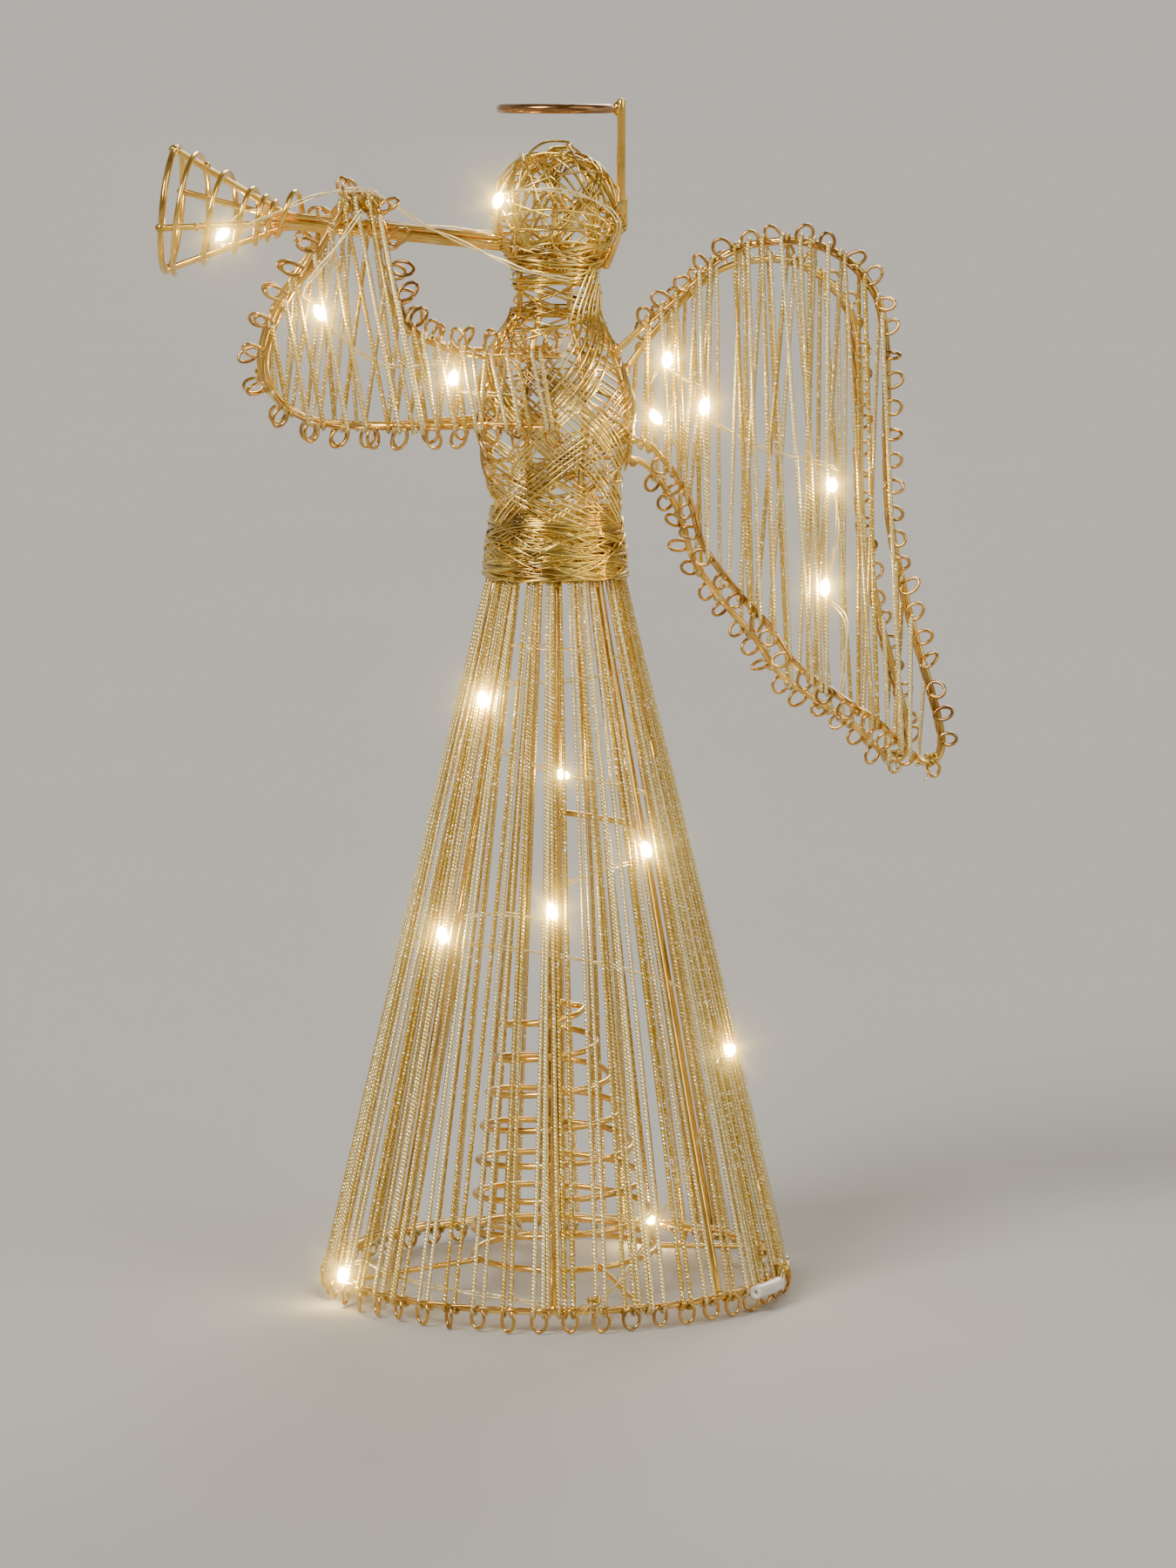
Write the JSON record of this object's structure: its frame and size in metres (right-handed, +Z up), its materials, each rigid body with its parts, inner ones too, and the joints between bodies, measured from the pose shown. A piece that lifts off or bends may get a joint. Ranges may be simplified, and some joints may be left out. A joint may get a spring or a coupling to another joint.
{
  "type": "angel tree topper",
  "caption": "Gold wire angel blowing a trumpet, with a conical skirt, looped wings, halo and micro lights; an inner coil slides over the tip of a tree.",
  "frame": {"origin": "middle of the skirt's hem, on the surface that the hem loops stand on", "axes": "+Z up along the skirt, -X the way the trumpet points, +X behind the wings, -Y the angel's left side"},
  "size_m": [0.2331, 0.1388, 0.3515],
  "materials": {
    "frame_wire": "antique gold lacquer over steel wire",
    "curl_wire": "coppery gold lacquer over fine steel wire",
    "wrap_wire": "bright fine gold wire",
    "metallic_thread": "two-ply champagne gold metallic thread",
    "light_string": "warm white lights in clear resin beads on fine pale wire",
    "clear_sleeve": "milky clear shrink sleeve"
  },
  "bodies": {
    "root": {"hem_ring": "frame_wire", "hem_loop_wire": "curl_wire", "skirt_leg_1": "frame_wire", "skirt_leg_2": "frame_wire", "skirt_leg_3": "frame_wire", "skirt_leg_4": "frame_wire", "skirt_leg_5": "frame_wire", "skirt_leg_6": "frame_wire", "skirt_leg_7": "frame_wire", "skirt_leg_8": "frame_wire", "torso_cage": "frame_wire", "head_cage": "frame_wire", "halo_ring": "frame_wire", "halo_stem": "frame_wire", "head_wrap": "wrap_wire", "neck_wrap": "wrap_wire", "torso_wrap": "wrap_wire", "waist_belt": "wrap_wire", "skirt_thread_1": "metallic_thread", "skirt_thread_2": "metallic_thread", "skirt_thread_3": "metallic_thread", "skirt_thread_4": "metallic_thread", "skirt_thread_5": "metallic_thread", "skirt_thread_6": "metallic_thread", "skirt_thread_7": "metallic_thread", "skirt_thread_8": "metallic_thread", "skirt_thread_9": "metallic_thread", "skirt_thread_10": "metallic_thread", "skirt_thread_11": "metallic_thread", "skirt_thread_12": "metallic_thread", "tree_coil": "frame_wire", "coil_strut_1": "frame_wire", "coil_strut_2": "frame_wire", "coil_strut_3": "frame_wire", "coil_strut_4": "frame_wire", "trumpet_wire_1": "frame_wire", "trumpet_wire_2": "frame_wire", "trumpet_wire_3": "frame_wire", "trumpet_wire_4": "frame_wire", "bell_ring": "frame_wire", "bell_spiral": "frame_wire", "left_sleeve_frame": "frame_wire", "left_sleeve_loop_wire": "curl_wire", "left_sleeve_thread": "metallic_thread", "right_sleeve_frame": "frame_wire", "right_sleeve_loop_wire": "curl_wire", "right_sleeve_thread": "metallic_thread", "left_wing_frame": "frame_wire", "left_wing_loop_wire": "curl_wire", "left_wing_thread": "metallic_thread", "right_wing_frame": "frame_wire", "right_wing_loop_wire": "curl_wire", "right_wing_thread": "metallic_thread", "lead_sleeve": "clear_sleeve", "skirt_lights": "light_string", "trumpet_lights": "light_string", "left_sleeve_lights": "light_string", "left_wing_lights": "light_string", "right_wing_lights": "light_string"}
  },
  "joints": []
}
